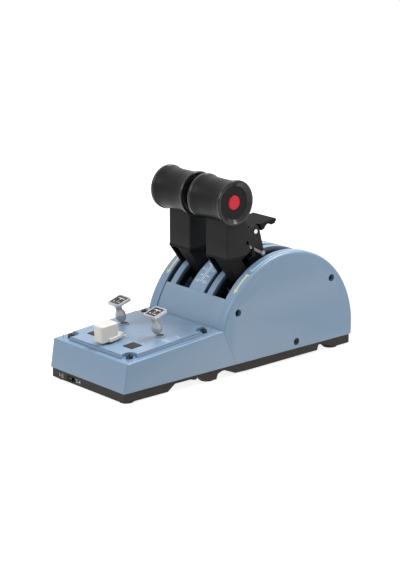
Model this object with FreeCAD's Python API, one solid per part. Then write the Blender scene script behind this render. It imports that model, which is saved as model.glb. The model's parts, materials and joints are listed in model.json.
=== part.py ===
import FreeCAD, Part
import math
import os

# Desktop throttle quadrant: a sloped control module in front of a half-drum that carries two
# thrust levers. Millimetres. +X is the object's right, -Y faces the user, +Z is up.
# The origin is the middle of the footprint, on the plane the rubber feet stand on.
# Everything that swings with a lever turns about one fixed axle along X, the drum axis.

os.makedirs("parts", exist_ok=True)

# ---- driving dimensions ---------------------------------------------------------------------

# shells
body_width = 100.0
body_length = 260.9
wall = 2.2                      # thickness of the painted shells
seam_gap = 0.15                 # joint line between two shells
base_top = 10.0                 # plane where the painted shells stand on the base

# drum
drum_y = 52.95
drum_z = 19.2
rim_radius = 79.3
rim_round = 2.8                 # rounded edge between the rim and the flat side
cover_half_width = 39.2         # centre cover between the two side covers
cover_step = 1.0                # centre cover lies below the rims
seam_foot_y = -7.5              # foot of the slanted joint between the module and the side cover

# front module
front_lean = 4.05               # the front face leans back this much
front_height = 34.76            # height of its top edge
panel_tilt = 4.24               # degrees, the top rises towards the drum
panel_mid_y = -75.0             # middle of the control panel

# base
base_inset = 1.3                # base lies inside the painted shells
base_thickness = 3.0
skirt_wall = 2.5
skirt_bottom = 1.6
foot_radius = 6.2
foot_boss_radius = 7.6
foot_x = 41.0
foot_rows = (-120.9, -33.8, 112.3)
foot_seat = 1.2                 # rubber stands this far below its boss

# levers
lever_x = 24.15                 # grips and lever bodies are centred at plus and minus this
lever_half_width = 13.9
axle_radius = 4.0
running_fit = 0.05
hub_radius = 7.5
slot_front_deg = -53.6          # both ends of the lever slots, from the vertical
slot_rear_deg = 26.5
wide_slot = (-3.15, 14.95)      # across the slot, from the lever's own centre plane
narrow_slot = (-14.4, -9.9)
wide_blade = (-2.5, 12.9)
narrow_blade = (-13.1, -11.1)
slot_wall = 1.5
slot_wall_depth = 8.0

# lever body, side view: (y, z)
body_front_y = -7.95
body_bottom_z = 98.0
body_wall = 2.0

# grip
grip_y = -3.81
grip_z = 149.12
grip_radius = 19.42
grip_waist = 17.35
grip_half_length = 20.37
core_radius = 6.0
cap_radius = 14.2
cap_thickness = 2.6
dish_depth = 2.4
button_radius = 6.3
button_gap = 0.3
button_travel = 1.5

# reverse paddle and its latch
paddle_pin_y = 25.45
paddle_pin_z = 118.7
paddle_pin_radius = 1.95
latch_pin_y = 33.0
latch_pin_z = 98.8
latch_pin_radius = 1.5
latch_bar = 1.6                 # thickness of the steel bars outside the cheeks
latch_front = 22.4              # where the bars meet the dark block
bracket_plate = 2.0
bracket_half_width = 12.6
paddle_half_width = 13.8        # the lifting plate is as wide as the lever body
small_gap = 0.3                 # between pieces that move past each other

# control panel, positions along the panel from its middle
plate_height = 3.0
plate_half_width = 43.5
plate_front = -45.6
plate_rear = 44.7
plate_screw_x = 39.2
plate_screw_front = -40.7
plate_screw_rear = 39.5
notch_radius = 6.4
knob_v = -33.05
key_x = 23.9
key_v = -24.95
key_width = 12.0
key_length = 11.4
key_gap = 0.3
key_travel = 1.5
toggle_x = 24.0
toggle_v = 4.75
toggle_pivot_h = -1.5
toggle_lean = 17.0              # degrees towards the user when off
panel_board_h = -18.0

# screws
screw_radius = 1.5
screw_head_radius = 2.9
module_post_x = 42.8
module_post_rows = (-100.0, -50.0)
module_post_radius = 5.2

# pairing switch in the front band
switch_x = -23.0
switch_z = 5.2
switch_window = 10.0
switch_travel = 4.0

# main board
board_z = 14.6
board_front = 97.5

# detents
detent_radius = 29.2
plunger_deg = 35.0
detent_marks = (-14.5, 0.0, 20.0, 32.0, 45.0)   # lever angles that have a notch

front_y = -body_length / 2
rear_y = body_length / 2
half_width = body_width / 2
cover_radius = rim_radius - cover_step
front_top_y = front_y + front_lean
tilt = math.radians(panel_tilt)
X = FreeCAD.Vector(1, 0, 0)
Y = FreeCAD.Vector(0, 1, 0)
Z = FreeCAD.Vector(0, 0, 1)


# ---- small shape functions ------------------------------------------------------------------

def at(x, y, z):
    return FreeCAD.Vector(x, y, z)


def box(x0, x1, y0, y1, z0, z1):
    return Part.makeBox(x1 - x0, y1 - y0, z1 - z0, at(x0, y0, z0))


def rod_x(radius, x0, x1, y, z):
    return Part.makeCylinder(radius, x1 - x0, at(x0, y, z), X)


def rod_z(radius, x, y, z0, z1):
    return Part.makeCylinder(radius, z1 - z0, at(x, y, z0), Z)


def yz_wire(points):
    corners = [at(0, y, z) for y, z in points]
    return Part.makePolygon(corners + corners[:1])


def yz_prism(points, x0, x1):
    """A side-view outline given as (y, z), extruded from x0 to x1."""
    prism = Part.Face(yz_wire(points)).extrude(X * (x1 - x0))
    prism.translate(X * x0)
    return prism


def turned(profile, y, z):
    """A closed outline given as (x, radius), turned about the X line through (y, z)."""
    corners = [at(x, y, z + r) for x, r in profile]
    face = Part.Face(Part.makePolygon(corners + corners[:1]))
    return face.revolve(at(0, y, z), X, 360)


def polar(radius, degrees):
    """Point (y, z) at a radius from the drum axis and an angle from the vertical, + to the rear."""
    a = math.radians(degrees)
    return drum_y + radius * math.sin(a), drum_z + radius * math.cos(a)


def sector(radius_in, radius_out, start_deg, end_deg, x0, x1):
    """Ring sector about the drum axis."""
    middle = (start_deg + end_deg) / 2
    outer = Part.Arc(at(0, *polar(radius_out, start_deg)), at(0, *polar(radius_out, middle)),
                     at(0, *polar(radius_out, end_deg))).toShape()
    inner = Part.Arc(at(0, *polar(radius_in, end_deg)), at(0, *polar(radius_in, middle)),
                     at(0, *polar(radius_in, start_deg))).toShape()
    side_a = Part.makeLine(at(0, *polar(radius_out, end_deg)), at(0, *polar(radius_in, end_deg)))
    side_b = Part.makeLine(at(0, *polar(radius_in, start_deg)), at(0, *polar(radius_out, start_deg)))
    ring = Part.Face(Part.Wire([outer, side_a, inner, side_b])).extrude(X * (x1 - x0))
    ring.translate(X * x0)
    return ring


def top_z(y):
    """Height of the module's sloped top at a given y."""
    return front_height + (y - front_top_y) * math.tan(tilt)


def on_panel(shape):
    """Carry a shape drawn flat, as (x, along the panel, height over the top), onto the slope."""
    placed = shape.copy()
    placed.rotate(at(0, 0, 0), X, panel_tilt)
    placed.translate(at(0, panel_mid_y, top_z(panel_mid_y)))
    return placed


def panel_meets_circle(radius):
    """Where the sloped top meets a circle about the drum axis, on the front side, as (y, z)."""
    depth = (top_z(drum_y) - drum_z) * math.cos(tilt)
    along = math.sqrt(radius ** 2 - depth ** 2)
    foot_y = drum_y - depth * math.sin(tilt)
    foot_z = drum_z + depth * math.cos(tilt)
    return foot_y - along * math.cos(tilt), foot_z - along * math.sin(tilt)


def edges_where(shape, test):
    return [edge for edge in shape.Edges if test(edge.CenterOfMass, edge)]


def join(shapes):
    whole = shapes[0].multiFuse(shapes[1:])
    return whole.removeSplitter()


def save(node, shape):
    shape.exportStep("parts/" + node + ".step")


# ---- shared outlines ------------------------------------------------------------------------

seam_top = panel_meets_circle(rim_radius)
seam_foot = (seam_foot_y, base_top)
drum_outline = [seam_top, seam_foot, (rear_y, base_top), (rear_y, 120), (seam_top[0], 120)]
drum_hollow = [(-60, -5), (rear_y - wall, -5), (rear_y - wall, 120), (-60, 120)]
side_screws = [(104.35, 66.4), (-5.95, 55.1), (62.75, 16.0)]
module_posts = [(sx * module_post_x, y) for sx in (-1, 1) for y in module_post_rows]
rear_posts = [(-30.0, rear_y - cover_step - wall - 3.7), (30.0, rear_y - cover_step - wall - 3.7)]
pedestal_spans = [(-45.0, -40.0), (-7.5, 7.5), (40.0, 45.0)]
detent_span = (-8.0, -5.0)      # across the detent plate, from the lever's centre plane
detent_leg_y = 89.4
pedestal_screw_rows = (-13.3, 13.3)
inner_screws = [((x0 + x1) / 2, drum_y + row) for x0, x1 in pedestal_spans for row in pedestal_screw_rows]
inner_screws += [(sx * lever_x + sum(detent_span) / 2, detent_leg_y) for sx in (-1, 1)]


# ---- base -----------------------------------------------------------------------------------

def base_pan():
    side = half_width - base_inset
    front = front_y + base_inset
    rear = rear_y - base_inset
    under = base_top - base_thickness
    plate = box(-side, side, front, rear, under, base_top)
    skirt_side = [(front, under), (front, skirt_bottom), (-83.0, skirt_bottom), (-75.0, under)]
    skirt_mid = [(-48.9, under), (-41.3, 2.1), (-37.0, 1.0), (-29.2, 1.0), (-27.7, 5.4), (-23.0, under)]
    skirt_drum = [(-20.0, under), (-7.7, 2.0), (5.5, skirt_bottom), (89.4, 2.4), (91.0, under)]
    skirt_rear = [(95.6, under), (103.6, 4.3), (112.0, skirt_bottom), (rear, skirt_bottom), (rear, under)]
    pieces = [plate]
    for outline in (skirt_side, skirt_mid, skirt_drum, skirt_rear):
        pieces.append(yz_prism(outline, -side, -side + skirt_wall))
        pieces.append(yz_prism(outline, side - skirt_wall, side))
    pieces.append(box(-side, side, front, front + skirt_wall, skirt_bottom, under))
    pieces.append(box(-side, side, rear - skirt_wall, rear, skirt_bottom, under))
    # rib that keys the painted shells, just inside their walls
    rib_out = half_width - wall - 0.2
    rib_front = front_y + wall + 0.7
    rib = box(-rib_out, rib_out, rib_front, rear_y - wall - cover_step - 0.2, base_top, base_top + 2.5)
    rib = rib.cut(box(-rib_out + 1.5, rib_out - 1.5, rib_front + 1.5,
                      rear_y - wall - cover_step - 1.7, base_top, base_top + 2.5))
    for x, y in rear_posts:
        rib = rib.cut(rod_z(4.3, x, y, base_top, base_top + 3))
    for x, y in module_posts:
        rib = rib.cut(rod_z(module_post_radius + 0.3, x, y, base_top, base_top + 3))
    rib = rib.cut(box(-rib_out, rib_out, side_screws[2][0] - 5, side_screws[2][0] + 5,
                      base_top, base_top + 3))
    pieces.append(rib)
    for y in foot_rows:
        for x in (-foot_x, foot_x):
            pieces.append(rod_z(foot_boss_radius, x, y, foot_seat, under))
    for x, y in board_posts:
        pieces.append(rod_z(2.6, x, y, base_top, board_z))
    pan = join(pieces)
    for y in foot_rows:
        for x in (-foot_x, foot_x):
            pan = pan.cut(rod_z(foot_radius, x, y, 0, foot_seat + 1.8))
    for x, y in module_posts + rear_posts + inner_screws:
        pan = pan.cut(rod_z(screw_radius + 0.1, x, y, under, base_top))
    # pairing-switch window in the front band
    pan = pan.cut(box(switch_x - switch_window / 2, switch_x + switch_window / 2,
                      front - 1, front + skirt_wall + 1, switch_z - 2.2, switch_z + 2.2))
    return pan


def rubber_feet():
    feet = [rod_z(foot_radius, x, y, 0, foot_seat + 1.8) for y in foot_rows for x in (-foot_x, foot_x)]
    return Part.makeCompound(feet)


# ---- painted shells -------------------------------------------------------------------------

def front_housing():
    outline = [(front_y, base_top), (front_top_y, front_height), seam_top, seam_foot]
    shell = yz_prism(outline, -half_width, half_width)
    front_edges = edges_where(shell, lambda c, e: abs(abs(c.x) - half_width) < 0.01 and c.y < -120)
    top_edges = edges_where(shell, lambda c, e: abs(abs(c.x) - half_width) < 0.01 and c.z > 36)
    front_top = edges_where(shell, lambda c, e: abs(c.x) < 0.01 and c.y < -120 and c.z > 30)
    shell = shell.makeFillet(1.2, front_edges + top_edges + front_top)
    inner = [(front_y + wall, base_top - 1), (front_top_y + wall, top_z(front_top_y + wall) - wall),
             (20, top_z(20) - wall), (20, base_top - 1)]
    shell = shell.cut(yz_prism(inner, -half_width + wall, half_width - wall))
    reach = half_width - wall
    shell = shell.cut(rod_x(rim_radius + seam_gap, -reach, reach, drum_y, drum_z))
    posts = [rod_z(module_post_radius, x, y, base_top, base_top + 16) for x, y in module_posts]
    bosses = [on_panel(rod_z(4.2, x, v, -10, -wall / 2)) for x, v in plate_screw_places]
    shell = shell.multiFuse(posts + bosses).removeSplitter()
    for x, y in module_posts:
        shell = shell.cut(rod_z(screw_radius, x, y, base_top, base_top + 12))
    for x, v in plate_screw_places:
        shell = shell.cut(on_panel(rod_z(screw_radius, x, v, -9, 1)))
    cutouts = [rod_z(4.5, sx * toggle_x, toggle_v, -4, 1) for sx in (-1, 1)]
    cutouts += [box(sx * key_x - 6.6, sx * key_x + 6.6, key_v - 6.3, key_v + 6.3, -4, 1) for sx in (-1, 1)]
    cutouts.append(rod_z(5.3, 0, knob_v, -4, 1))
    for cutout in cutouts:
        shell = shell.cut(on_panel(cutout))
    return shell


def side_cover(side):
    """side is +1 for the right cover and -1 for the left."""
    steps = 6
    inner_x = half_width - wall
    rim_inner = rim_radius - wall
    edge = []
    for i in range(steps + 1):
        a = math.radians(90 * i / steps)
        edge.append((half_width - rim_round + rim_round * math.sin(a),
                     rim_radius - rim_round + rim_round * math.cos(a)))
    profile = [(cover_half_width, 0), (cover_half_width, rim_radius)] + edge + [(half_width, 0)]
    shell = turned(profile, drum_y, drum_z).common(yz_prism(drum_outline, 0, 60))
    hollow = rod_x(rim_inner, cover_half_width - 1, inner_x, drum_y, drum_z)
    hollow = hollow.common(yz_prism(drum_hollow, 0, 60))
    shell = shell.cut(hollow)
    bosses = [rod_x(4.5, cover_half_width, inner_x + 0.5, y, z) for y, z in side_screws[:2]]
    bosses.append(rod_x(4.5, pedestal_spans[2][1], inner_x + 0.5, *side_screws[2]))
    shell = shell.multiFuse(bosses)
    for y, z in side_screws:
        seat = screw_seat_x(y)
        shell = shell.cut(rod_x(3.3, seat, 51, y, z))
        shell = shell.cut(rod_x(screw_radius + 0.1, 39, 51, y, z))
    shell = shell.removeSplitter()
    if side < 0:
        shell = shell.mirror(at(0, 0, 0), X)
    return shell


def screw_seat_x(y):
    """Head seat of a side screw: deep in the two long bosses, shallow at the pedestal screw."""
    if abs(y - side_screws[2][0]) < 1:
        return half_width - 3.5
    return half_width - 6.0


def centre_cover():
    half = cover_half_width - 0.1
    back = rear_y - cover_step
    tuck_z = seam_top[1] - wall - 2.0
    outline = [(-40, tuck_z), (100, tuck_z), (100, base_top), (back, base_top), (back, 120), (-40, 120)]
    hollow = [(-60, -5), (back - wall, -5), (back - wall, 120), (-60, 120)]
    shell = rod_x(cover_radius, -half, half, drum_y, drum_z).common(yz_prism(outline, -half, half))
    core = rod_x(cover_radius - wall, -half, half, drum_y, drum_z).common(yz_prism(hollow, -half, half))
    shell = shell.cut(core)
    extras = []
    slot_cuts = []
    wall_deg = math.degrees(slot_wall / cover_radius)
    radius_in = cover_radius - wall - slot_wall_depth
    for centre in (-lever_x, lever_x):
        for low, high in (wide_slot, narrow_slot):
            x0 = max(centre + low, -cover_half_width)
            x1 = min(centre + high, cover_half_width)
            x1 = cover_half_width if x1 > cover_half_width - 0.5 else x1
            x0 = -cover_half_width if x0 < -cover_half_width + 0.8 else x0
            extras.append(sector(radius_in, cover_radius - 1, slot_front_deg - wall_deg,
                                 slot_rear_deg + wall_deg, max(x0 - slot_wall, -half),
                                 min(x1 + slot_wall, half)))
            slot_cuts.append(sector(radius_in - 1, cover_radius + 2, slot_front_deg, slot_rear_deg, x0, x1))
    for side in (-1, 1):
        for y, z in side_screws[:2]:
            boss_x = sorted((side * half, side * (half - 10)))
            extras.append(rod_x(4.0, boss_x[0], boss_x[1], y, z))
            angle = math.degrees(math.atan2(y - drum_y, z - drum_z))
            radius = math.hypot(y - drum_y, z - drum_z)
            extras.append(sector(radius, cover_radius - 1, angle - 1, angle + 1, boss_x[0], boss_x[1]))
    for x, y in rear_posts:
        extras.append(rod_z(4.0, x, y, base_top, base_top + 22))
    shell = shell.multiFuse(extras)
    for cut in slot_cuts:
        shell = shell.cut(cut)
    for side in (-1, 1):
        for y, z in side_screws[:2]:
            hole_x = sorted((side * (half + 1), side * (half - 9)))
            shell = shell.cut(rod_x(screw_radius, hole_x[0], hole_x[1], y, z))
    for x, y in rear_posts:
        shell = shell.cut(rod_z(screw_radius, x, y, base_top, base_top + 12))
    shell = shell.cut(usb_shape(4.9, 2.0, back - wall - 1, back + 1))
    return shell.removeSplitter()


# ---- control panel --------------------------------------------------------------------------

plate_screw_places = [(sx * plate_screw_x, v) for sx in (-1, 1) for v in (plate_screw_front, plate_screw_rear)]


def control_plate():
    plate = box(-plate_half_width, plate_half_width, plate_front, plate_rear, 0, plate_height)
    rim = edges_where(plate, lambda c, e: abs(c.z - plate_height) < 0.01)
    plate = plate.makeChamfer(0.35, rim)
    for x, v in plate_screw_places:
        plate = plate.cut(rod_z(notch_radius, x, v, -1, plate_height + 1))
    for sx in (-1, 1):
        plate = plate.cut(rod_z(4.3, sx * toggle_x, toggle_v, -1, plate_height + 1))
        opening = key_block(sx, key_width + 2 * key_gap, key_length + 2 * key_gap, -1, plate_height + 1)
        plate = plate.cut(opening)
    plate = plate.cut(rod_z(5.15, 0, knob_v, -1, plate_height + 1))
    return on_panel(plate)


def key_block(side, width, length, low, high):
    x = side * key_x
    block = box(x - width / 2, x + width / 2, key_v - length / 2, key_v + length / 2, low, high)
    uprights = edges_where(block, lambda c, e: low < c.z < high)
    return block.makeFillet(0.6, uprights)


def plate_screws():
    screws = []
    for x, v in plate_screw_places:
        head = rod_z(screw_head_radius, x, v, 0, 2.8)
        crown = edges_where(head, lambda c, e: abs(c.z - 2.8) < 0.01)
        head = head.makeChamfer(0.4, crown)
        screw = head.fuse(rod_z(screw_radius, x, v, -8.5, 0.1))
        screw = screw.cut(hexagon(1.45, x, v, 1.2, 3))
        screws.append(on_panel(screw))
    return Part.makeCompound(screws)


def hexagon(radius, x, y, z0, z1):
    corners = [at(x + radius * math.cos(math.radians(60 * i)), y + radius * math.sin(math.radians(60 * i)), z0)
               for i in range(6)]
    return Part.Face(Part.makePolygon(corners + corners[:1])).extrude(Z * (z1 - z0))


def key_cap(side):
    cap = key_block(side, key_width, key_length, -4.5, plate_height + 0.2)
    cap = cap.cut(key_block(side, key_width - 3, key_length - 3, -4.6, plate_height - 1.6))
    stem = box(side * key_x - 1.5, side * key_x + 1.5, key_v - 1.5, key_v + 1.5, -12.4, plate_height - 1.5)
    return on_panel(cap.fuse(stem).removeSplitter())


def key_switches():
    switches = []
    for side in (-1, 1):
        body = box(side * key_x - 3.1, side * key_x + 3.1, key_v - 3.1, key_v + 3.1, panel_board_h + 1.6, -14.3)
        switches.append(on_panel(body))
    return Part.makeCompound(switches)


def selector_knob():
    """Tall ivory block over a low pointer that aims at the drum."""
    low = 4.8
    high = 19.1
    block = box(-6.0, 6.0, knob_v - 9.2, knob_v + 9.2, low, high)
    uprights = edges_where(block, lambda c, e: low + 1 < c.z < high - 1)
    block = block.makeFillet(2.4, uprights)
    crown = edges_where(block, lambda c, e: abs(c.z - high) < 0.01)
    block = block.makeFillet(1.3, crown)
    outline = [(-8.2, knob_v - 2.6), (8.2, knob_v - 2.6), (6.6, knob_v + 9.0), (2.3, knob_v + 16.3),
               (-2.3, knob_v + 16.3), (-6.6, knob_v + 9.0)]
    corners = [at(x, v, low) for x, v in outline]
    pointer = Part.Face(Part.makePolygon(corners + corners[:1])).extrude(Z * 2.8)
    pointer_uprights = edges_where(pointer, lambda c, e: abs(c.z - low - 1.4) < 0.01)
    pointer = pointer.makeFillet(1.0, pointer_uprights)
    knob = block.fuse(pointer)
    knob = knob.cut(rod_z(3.0, 0, knob_v, low - 1, low + 9))
    return on_panel(knob.removeSplitter())


def selector_shaft():
    shaft = rod_z(3.0, 0, knob_v, -10.0, 13.8)
    return on_panel(shaft)


def selector_switch():
    body = box(-7.5, 7.5, knob_v - 7.5, knob_v + 7.5, panel_board_h + 1.6, -wall - 0.1)
    neck = rod_z(5.1, 0, knob_v, -wall - 0.2, 4.5)
    switch = body.fuse(neck)
    switch = switch.cut(rod_z(3.0 + running_fit, 0, knob_v, -10.3, 5))
    return on_panel(switch.removeSplitter())


def toggle_switches():
    switches = []
    for side in (-1, 1):
        x = side * toggle_x
        body = box(x - 6.5, x + 6.5, toggle_v - 7.5, toggle_v + 7.5, panel_board_h + 1.6, -6.4)
        barrel = rod_z(4.2, x, toggle_v, -6.5, 4.0)
        switch = body.fuse(barrel)
        switch = switch.cut(rod_z(3.4, x, toggle_v, -6.4, 4.5))
        switch = switch.cut(rod_x(0.75, x - 4.2, x + 4.2, toggle_v, toggle_pivot_h))
        switches.append(on_panel(switch.removeSplitter()))
    return Part.makeCompound(switches)


def toggle_pins():
    pins = [on_panel(rod_x(0.75, sx * toggle_x - 4.1, sx * toggle_x + 4.1, toggle_v, toggle_pivot_h))
            for sx in (-1, 1)]
    return Part.makeCompound(pins)


def stand_up(shape, side):
    """Lean a toggle drawn upright on its pivot, then carry it onto the panel."""
    leaning = shape.copy()
    leaning.rotate(at(0, 0, 0), X, toggle_lean)
    leaning.translate(at(side * toggle_x, toggle_v, toggle_pivot_h))
    return on_panel(leaning)


def toggle(side):
    """Thin shank, stout barrel with a shoulder, slim neck and a square head set to the rear;
    distances run along the stem from its pivot."""
    profile = [(-4.0, 0), (-4.0, 1.2), (-3.2, 1.5), (7.3, 1.5), (7.3, 3.1), (7.7, 3.5), (13.6, 4.0),
               (14.6, 3.8), (16.6, 2.7), (18.6, 2.1), (24.8, 2.0), (24.8, 0)]
    corners = [at(r, 0, s) for s, r in profile]
    stem = Part.Face(Part.makePolygon(corners + corners[:1])).revolve(at(0, 0, 0), Z, 360)
    head = box(-6.5, 6.5, -4.3, 8.3, 24.6, 27.2)
    uprights = edges_where(head, lambda c, e: 25 < c.z < 27)
    head = head.makeFillet(1.6, uprights)
    crown = edges_where(head, lambda c, e: abs(c.z - 27.2) < 0.01)
    head = head.makeChamfer(0.7, crown)
    whole = stem.fuse(head)
    whole = whole.cut(box(-4.3, 4.3, -2.1, 6.1, 26.8, 28))
    whole = whole.cut(rod_x(0.75 + running_fit, -5, 5, 0, 0))
    whole = whole.cut(rod_x(0.7, 3.0, 5, 0, 12.2))
    return stand_up(whole.removeSplitter(), side)


def panel_board():
    board = box(-36, 36, -41.0, 16.0, panel_board_h, panel_board_h + 1.6)
    for sx in (-1, 1):
        board = board.cut(box(min(sx * 34, sx * 50), max(sx * 34, sx * 50), -50, -34, -20, -15))
    return on_panel(board)


# ---- pairing switch in the front band -------------------------------------------------------

def pairing_switch():
    front = front_y + base_inset
    body = box(switch_x - 7, switch_x + 7, front + skirt_wall, front + skirt_wall + 5, 1.8, 7.0)
    return body.cut(box(switch_x - 4.6, switch_x + 4.6, front + skirt_wall - 1, front + skirt_wall + 1.5,
                        switch_z - 1.7, switch_z + 1.4))


def pairing_slider():
    front = front_y + base_inset
    left = switch_x - switch_travel / 2 - 2.2
    slider = box(left, left + 4.4, front + 0.5, front + skirt_wall + 1.2, switch_z - 1.4, switch_z + 1.2)
    for i in range(3):
        groove_x = left + 1.1 + i * 1.1
        slider = slider.cut(box(groove_x - 0.2, groove_x + 0.2, front, front + 0.9, switch_z - 2, switch_z + 2))
    return slider


# ---- electronics and the rear socket --------------------------------------------------------

board_posts = [(sx * 30.0, y) for sx in (-1, 1) for y in (board_front + 4, 114.0)]
socket_z = board_z + 3.2


def usb_shape(half_long, half_high, y0, y1):
    """Flat-sided round-ended opening on the rear face."""
    flat = box(-half_long + half_high, half_long - half_high, y0, y1, socket_z - half_high, socket_z + half_high)
    ends = [Part.makeCylinder(half_high, y1 - y0, at(sx * (half_long - half_high), y0, socket_z), Y)
            for sx in (-1, 1)]
    return flat.multiFuse(ends).removeSplitter()


def main_board():
    board = box(-34, 34, board_front, 118.5, board_z, board_z + 1.6)
    tongue = box(-11, 11, 118.4, 126.8, board_z, board_z + 1.6)
    chips = box(-8, 6, board_front + 4, board_front + 14, board_z + 1.6, board_z + 3.0)
    return join([board, tongue, chips])


def usb_socket():
    back = rear_y - cover_step
    shell = usb_shape(4.5, 1.6, back - 8.0, back - 0.4)
    shell = shell.cut(usb_shape(4.15, 1.25, back - 6.5, back))
    blade = box(-3.3, 3.3, back - 7.0, back - 1.2, socket_z - 0.35, socket_z + 0.35)
    return shell.fuse(blade).removeSplitter()


def hall_boards():
    boards = []
    for x0, x1 in ((-40.0, -38.9), (38.9, 40.0)):
        board = box(x0, x1, drum_y - 9, drum_y + 9, 12, 31)
        boards.append(board.cut(rod_x(axle_radius + 0.6, x0, x1, drum_y, drum_z)))
    return Part.makeCompound(boards)


# ---- axle and what carries it ---------------------------------------------------------------

def axle_pedestals():
    blocks = []
    for x0, x1 in pedestal_spans:
        foot = box(x0, x1, drum_y - 16, drum_y + 16, base_top, 20)
        crown = rod_x(9.0, x0, x1, drum_y, drum_z)
        crown = crown.common(box(x0, x1, drum_y - 20, drum_y + 20, base_top, 60))
        block = foot.fuse(crown).removeSplitter()
        block = block.cut(rod_x(axle_radius, x0, x1, drum_y, drum_z))
        for row in pedestal_screw_rows:
            block = block.cut(rod_z(screw_radius, (x0 + x1) / 2, drum_y + row, base_top, base_top + 8))
        if x0 > 30 or x1 < -30:
            block = block.cut(rod_x(screw_radius, x0, x1, *side_screws[2]))
        blocks.append(block)
    return Part.makeCompound(blocks)


def lever_axle():
    axle = rod_x(axle_radius, -46.6, 46.6, drum_y, drum_z)
    for x0 in (-46.0, 45.2):
        groove = rod_x(axle_radius + 1, x0, x0 + 0.8, drum_y, drum_z)
        axle = axle.cut(groove.cut(rod_x(axle_radius - 0.6, x0, x0 + 0.8, drum_y, drum_z)))
    return axle


def axle_clips():
    clips = []
    for x0 in (-46.0, 45.2):
        clip = rod_x(axle_radius + 1.6, x0, x0 + 0.8, drum_y, drum_z)
        clip = clip.cut(rod_x(axle_radius - 0.6, x0, x0 + 0.8, drum_y, drum_z))
        clip = clip.cut(box(x0, x0 + 0.8, drum_y - 2.4, drum_y + 2.4, drum_z - 8, drum_z))
        clips.append(clip)
    return Part.makeCompound(clips)


def friction_discs():
    """One felt disc and one spring washer between each hub and the middle pedestal."""
    discs = []
    inner_hubs = ((-lever_x + wide_blade[1] + 0.1, -7.5), (7.5, lever_x + narrow_blade[0] - 0.1))
    for x0, x1 in inner_hubs:
        ring = rod_x(8.2, x0, x1, drum_y, drum_z)
        discs.append(ring.cut(rod_x(axle_radius, x0, x1, drum_y, drum_z)))
    return Part.makeCompound(discs)


def vertical_screws(places, head_z, tip_z, head_height):
    screws = []
    for x, y in places:
        head = rod_z(screw_head_radius, x, y, head_z - head_height, head_z)
        screw = head.fuse(rod_z(screw_radius, x, y, head_z - 0.1, tip_z))
        screws.append(screw.cut(hexagon(1.3, x, y, head_z - head_height, head_z - head_height + 1.2)))
    return screws


def base_screws():
    """Screws driven up from below: long ones into the shells, short ones into what stands inside."""
    head_z = base_top - base_thickness
    shells = vertical_screws(module_posts + rear_posts, head_z, base_top + 11, 2.4)
    return Part.makeCompound(shells + vertical_screws(inner_screws, head_z, base_top + 7, 2.4))


def side_cover_screws():
    screws = []
    for y, z in side_screws:
        seat = screw_seat_x(y)
        tip = 40.5 if seat > 45 else 30.5
        screw = rod_x(screw_head_radius, seat, seat + 2.4, y, z).fuse(rod_x(screw_radius, tip, seat + 0.1, y, z))
        cross = box(seat + 1.2, seat + 3, y - 1.7, y + 1.7, z - 0.4, z + 0.4)
        cross = cross.fuse(box(seat + 1.2, seat + 3, y - 0.4, y + 0.4, z - 1.7, z + 1.7))
        screw = screw.cut(cross)
        screws.append(screw)
        screws.append(screw.mirror(at(0, 0, 0), X))
    return Part.makeCompound(screws)


# ---- detents --------------------------------------------------------------------------------

def detent_plate(centre):
    """Toothed sector on the hub; each notch comes under the plunger at one lever setting."""
    x0 = centre + detent_span[0]
    x1 = centre + detent_span[1]
    plate = sector(6.0, detent_radius, plunger_deg - 50, plunger_deg + 19.5, x0, x1)
    plate = plate.fuse(rod_x(hub_radius + 1.3, x0, x1, drum_y, drum_z))
    for mark in detent_marks:
        plate = plate.cut(rod_x(2.3, x0, x1, *polar(detent_radius + 0.9, plunger_deg - mark)))
    plate = plate.cut(rod_x(hub_radius, x0, x1, drum_y, drum_z))
    return plate.removeSplitter()


def detent_plungers():
    plungers = []
    for centre in (-lever_x, lever_x):
        x = centre + (detent_span[0] + detent_span[1]) / 2
        start = detent_radius + 0.3
        profile = [(start, 0), (start + 0.35, 1.1), (start + 1.3, 1.9), (start + 2.2, 2.0), (start + 2.2, 3.0),
                   (start + 16, 3.0), (start + 16, 0)]
        a = math.radians(plunger_deg)
        along = at(0, math.sin(a), math.cos(a))
        corners = [at(x + r, drum_y, drum_z) + along * s for s, r in profile]
        face = Part.Face(Part.makePolygon(corners + corners[:1]))
        plungers.append(face.revolve(at(x, drum_y, drum_z), along, 360))
    return Part.makeCompound(plungers)


def detent_posts():
    """Curved arm round the outside of each detent plate, on a leg that stands on the base."""
    posts = []
    inner = detent_radius + 2.0
    for centre in (-lever_x, lever_x):
        x0 = centre + detent_span[0] - 1.0
        x1 = centre + detent_span[1] + 1.0
        arm = sector(inner, inner + 10.8, plunger_deg - 11, 84, x0, x1)
        leg = box(x0, x1, detent_leg_y - 5.3, detent_leg_y + 5.3, base_top, 23.5)
        post = arm.fuse(leg).removeSplitter()
        x = (x0 + x1) / 2
        a = math.radians(plunger_deg)
        start = at(x, *polar(detent_radius, plunger_deg))
        post = post.cut(Part.makeCylinder(3.0, 30, start, at(0, math.sin(a), math.cos(a))))
        post = post.cut(rod_z(screw_radius, x, detent_leg_y, base_top, base_top + 8))
        posts.append(post)
    return Part.makeCompound(posts)


# ---- thrust levers --------------------------------------------------------------------------

blade_front_deg = math.degrees(math.atan2(body_front_y - drum_y, body_bottom_z - drum_z))
yoke_outline = [(body_front_y, body_bottom_z), (9.2, body_bottom_z - 1.0), (14.4, body_bottom_z + 2.0),
                (body_front_y, body_bottom_z + 2.0)]
body_outline = [(body_front_y, body_bottom_z + 2.0), (body_front_y, 141.0), (7.0, 141.0), (13.05, 130.6),
                (16.05, 123.0), (18.2, 105.7), (16.7, 101.5), (14.4, body_bottom_z + 2.0)]


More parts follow.
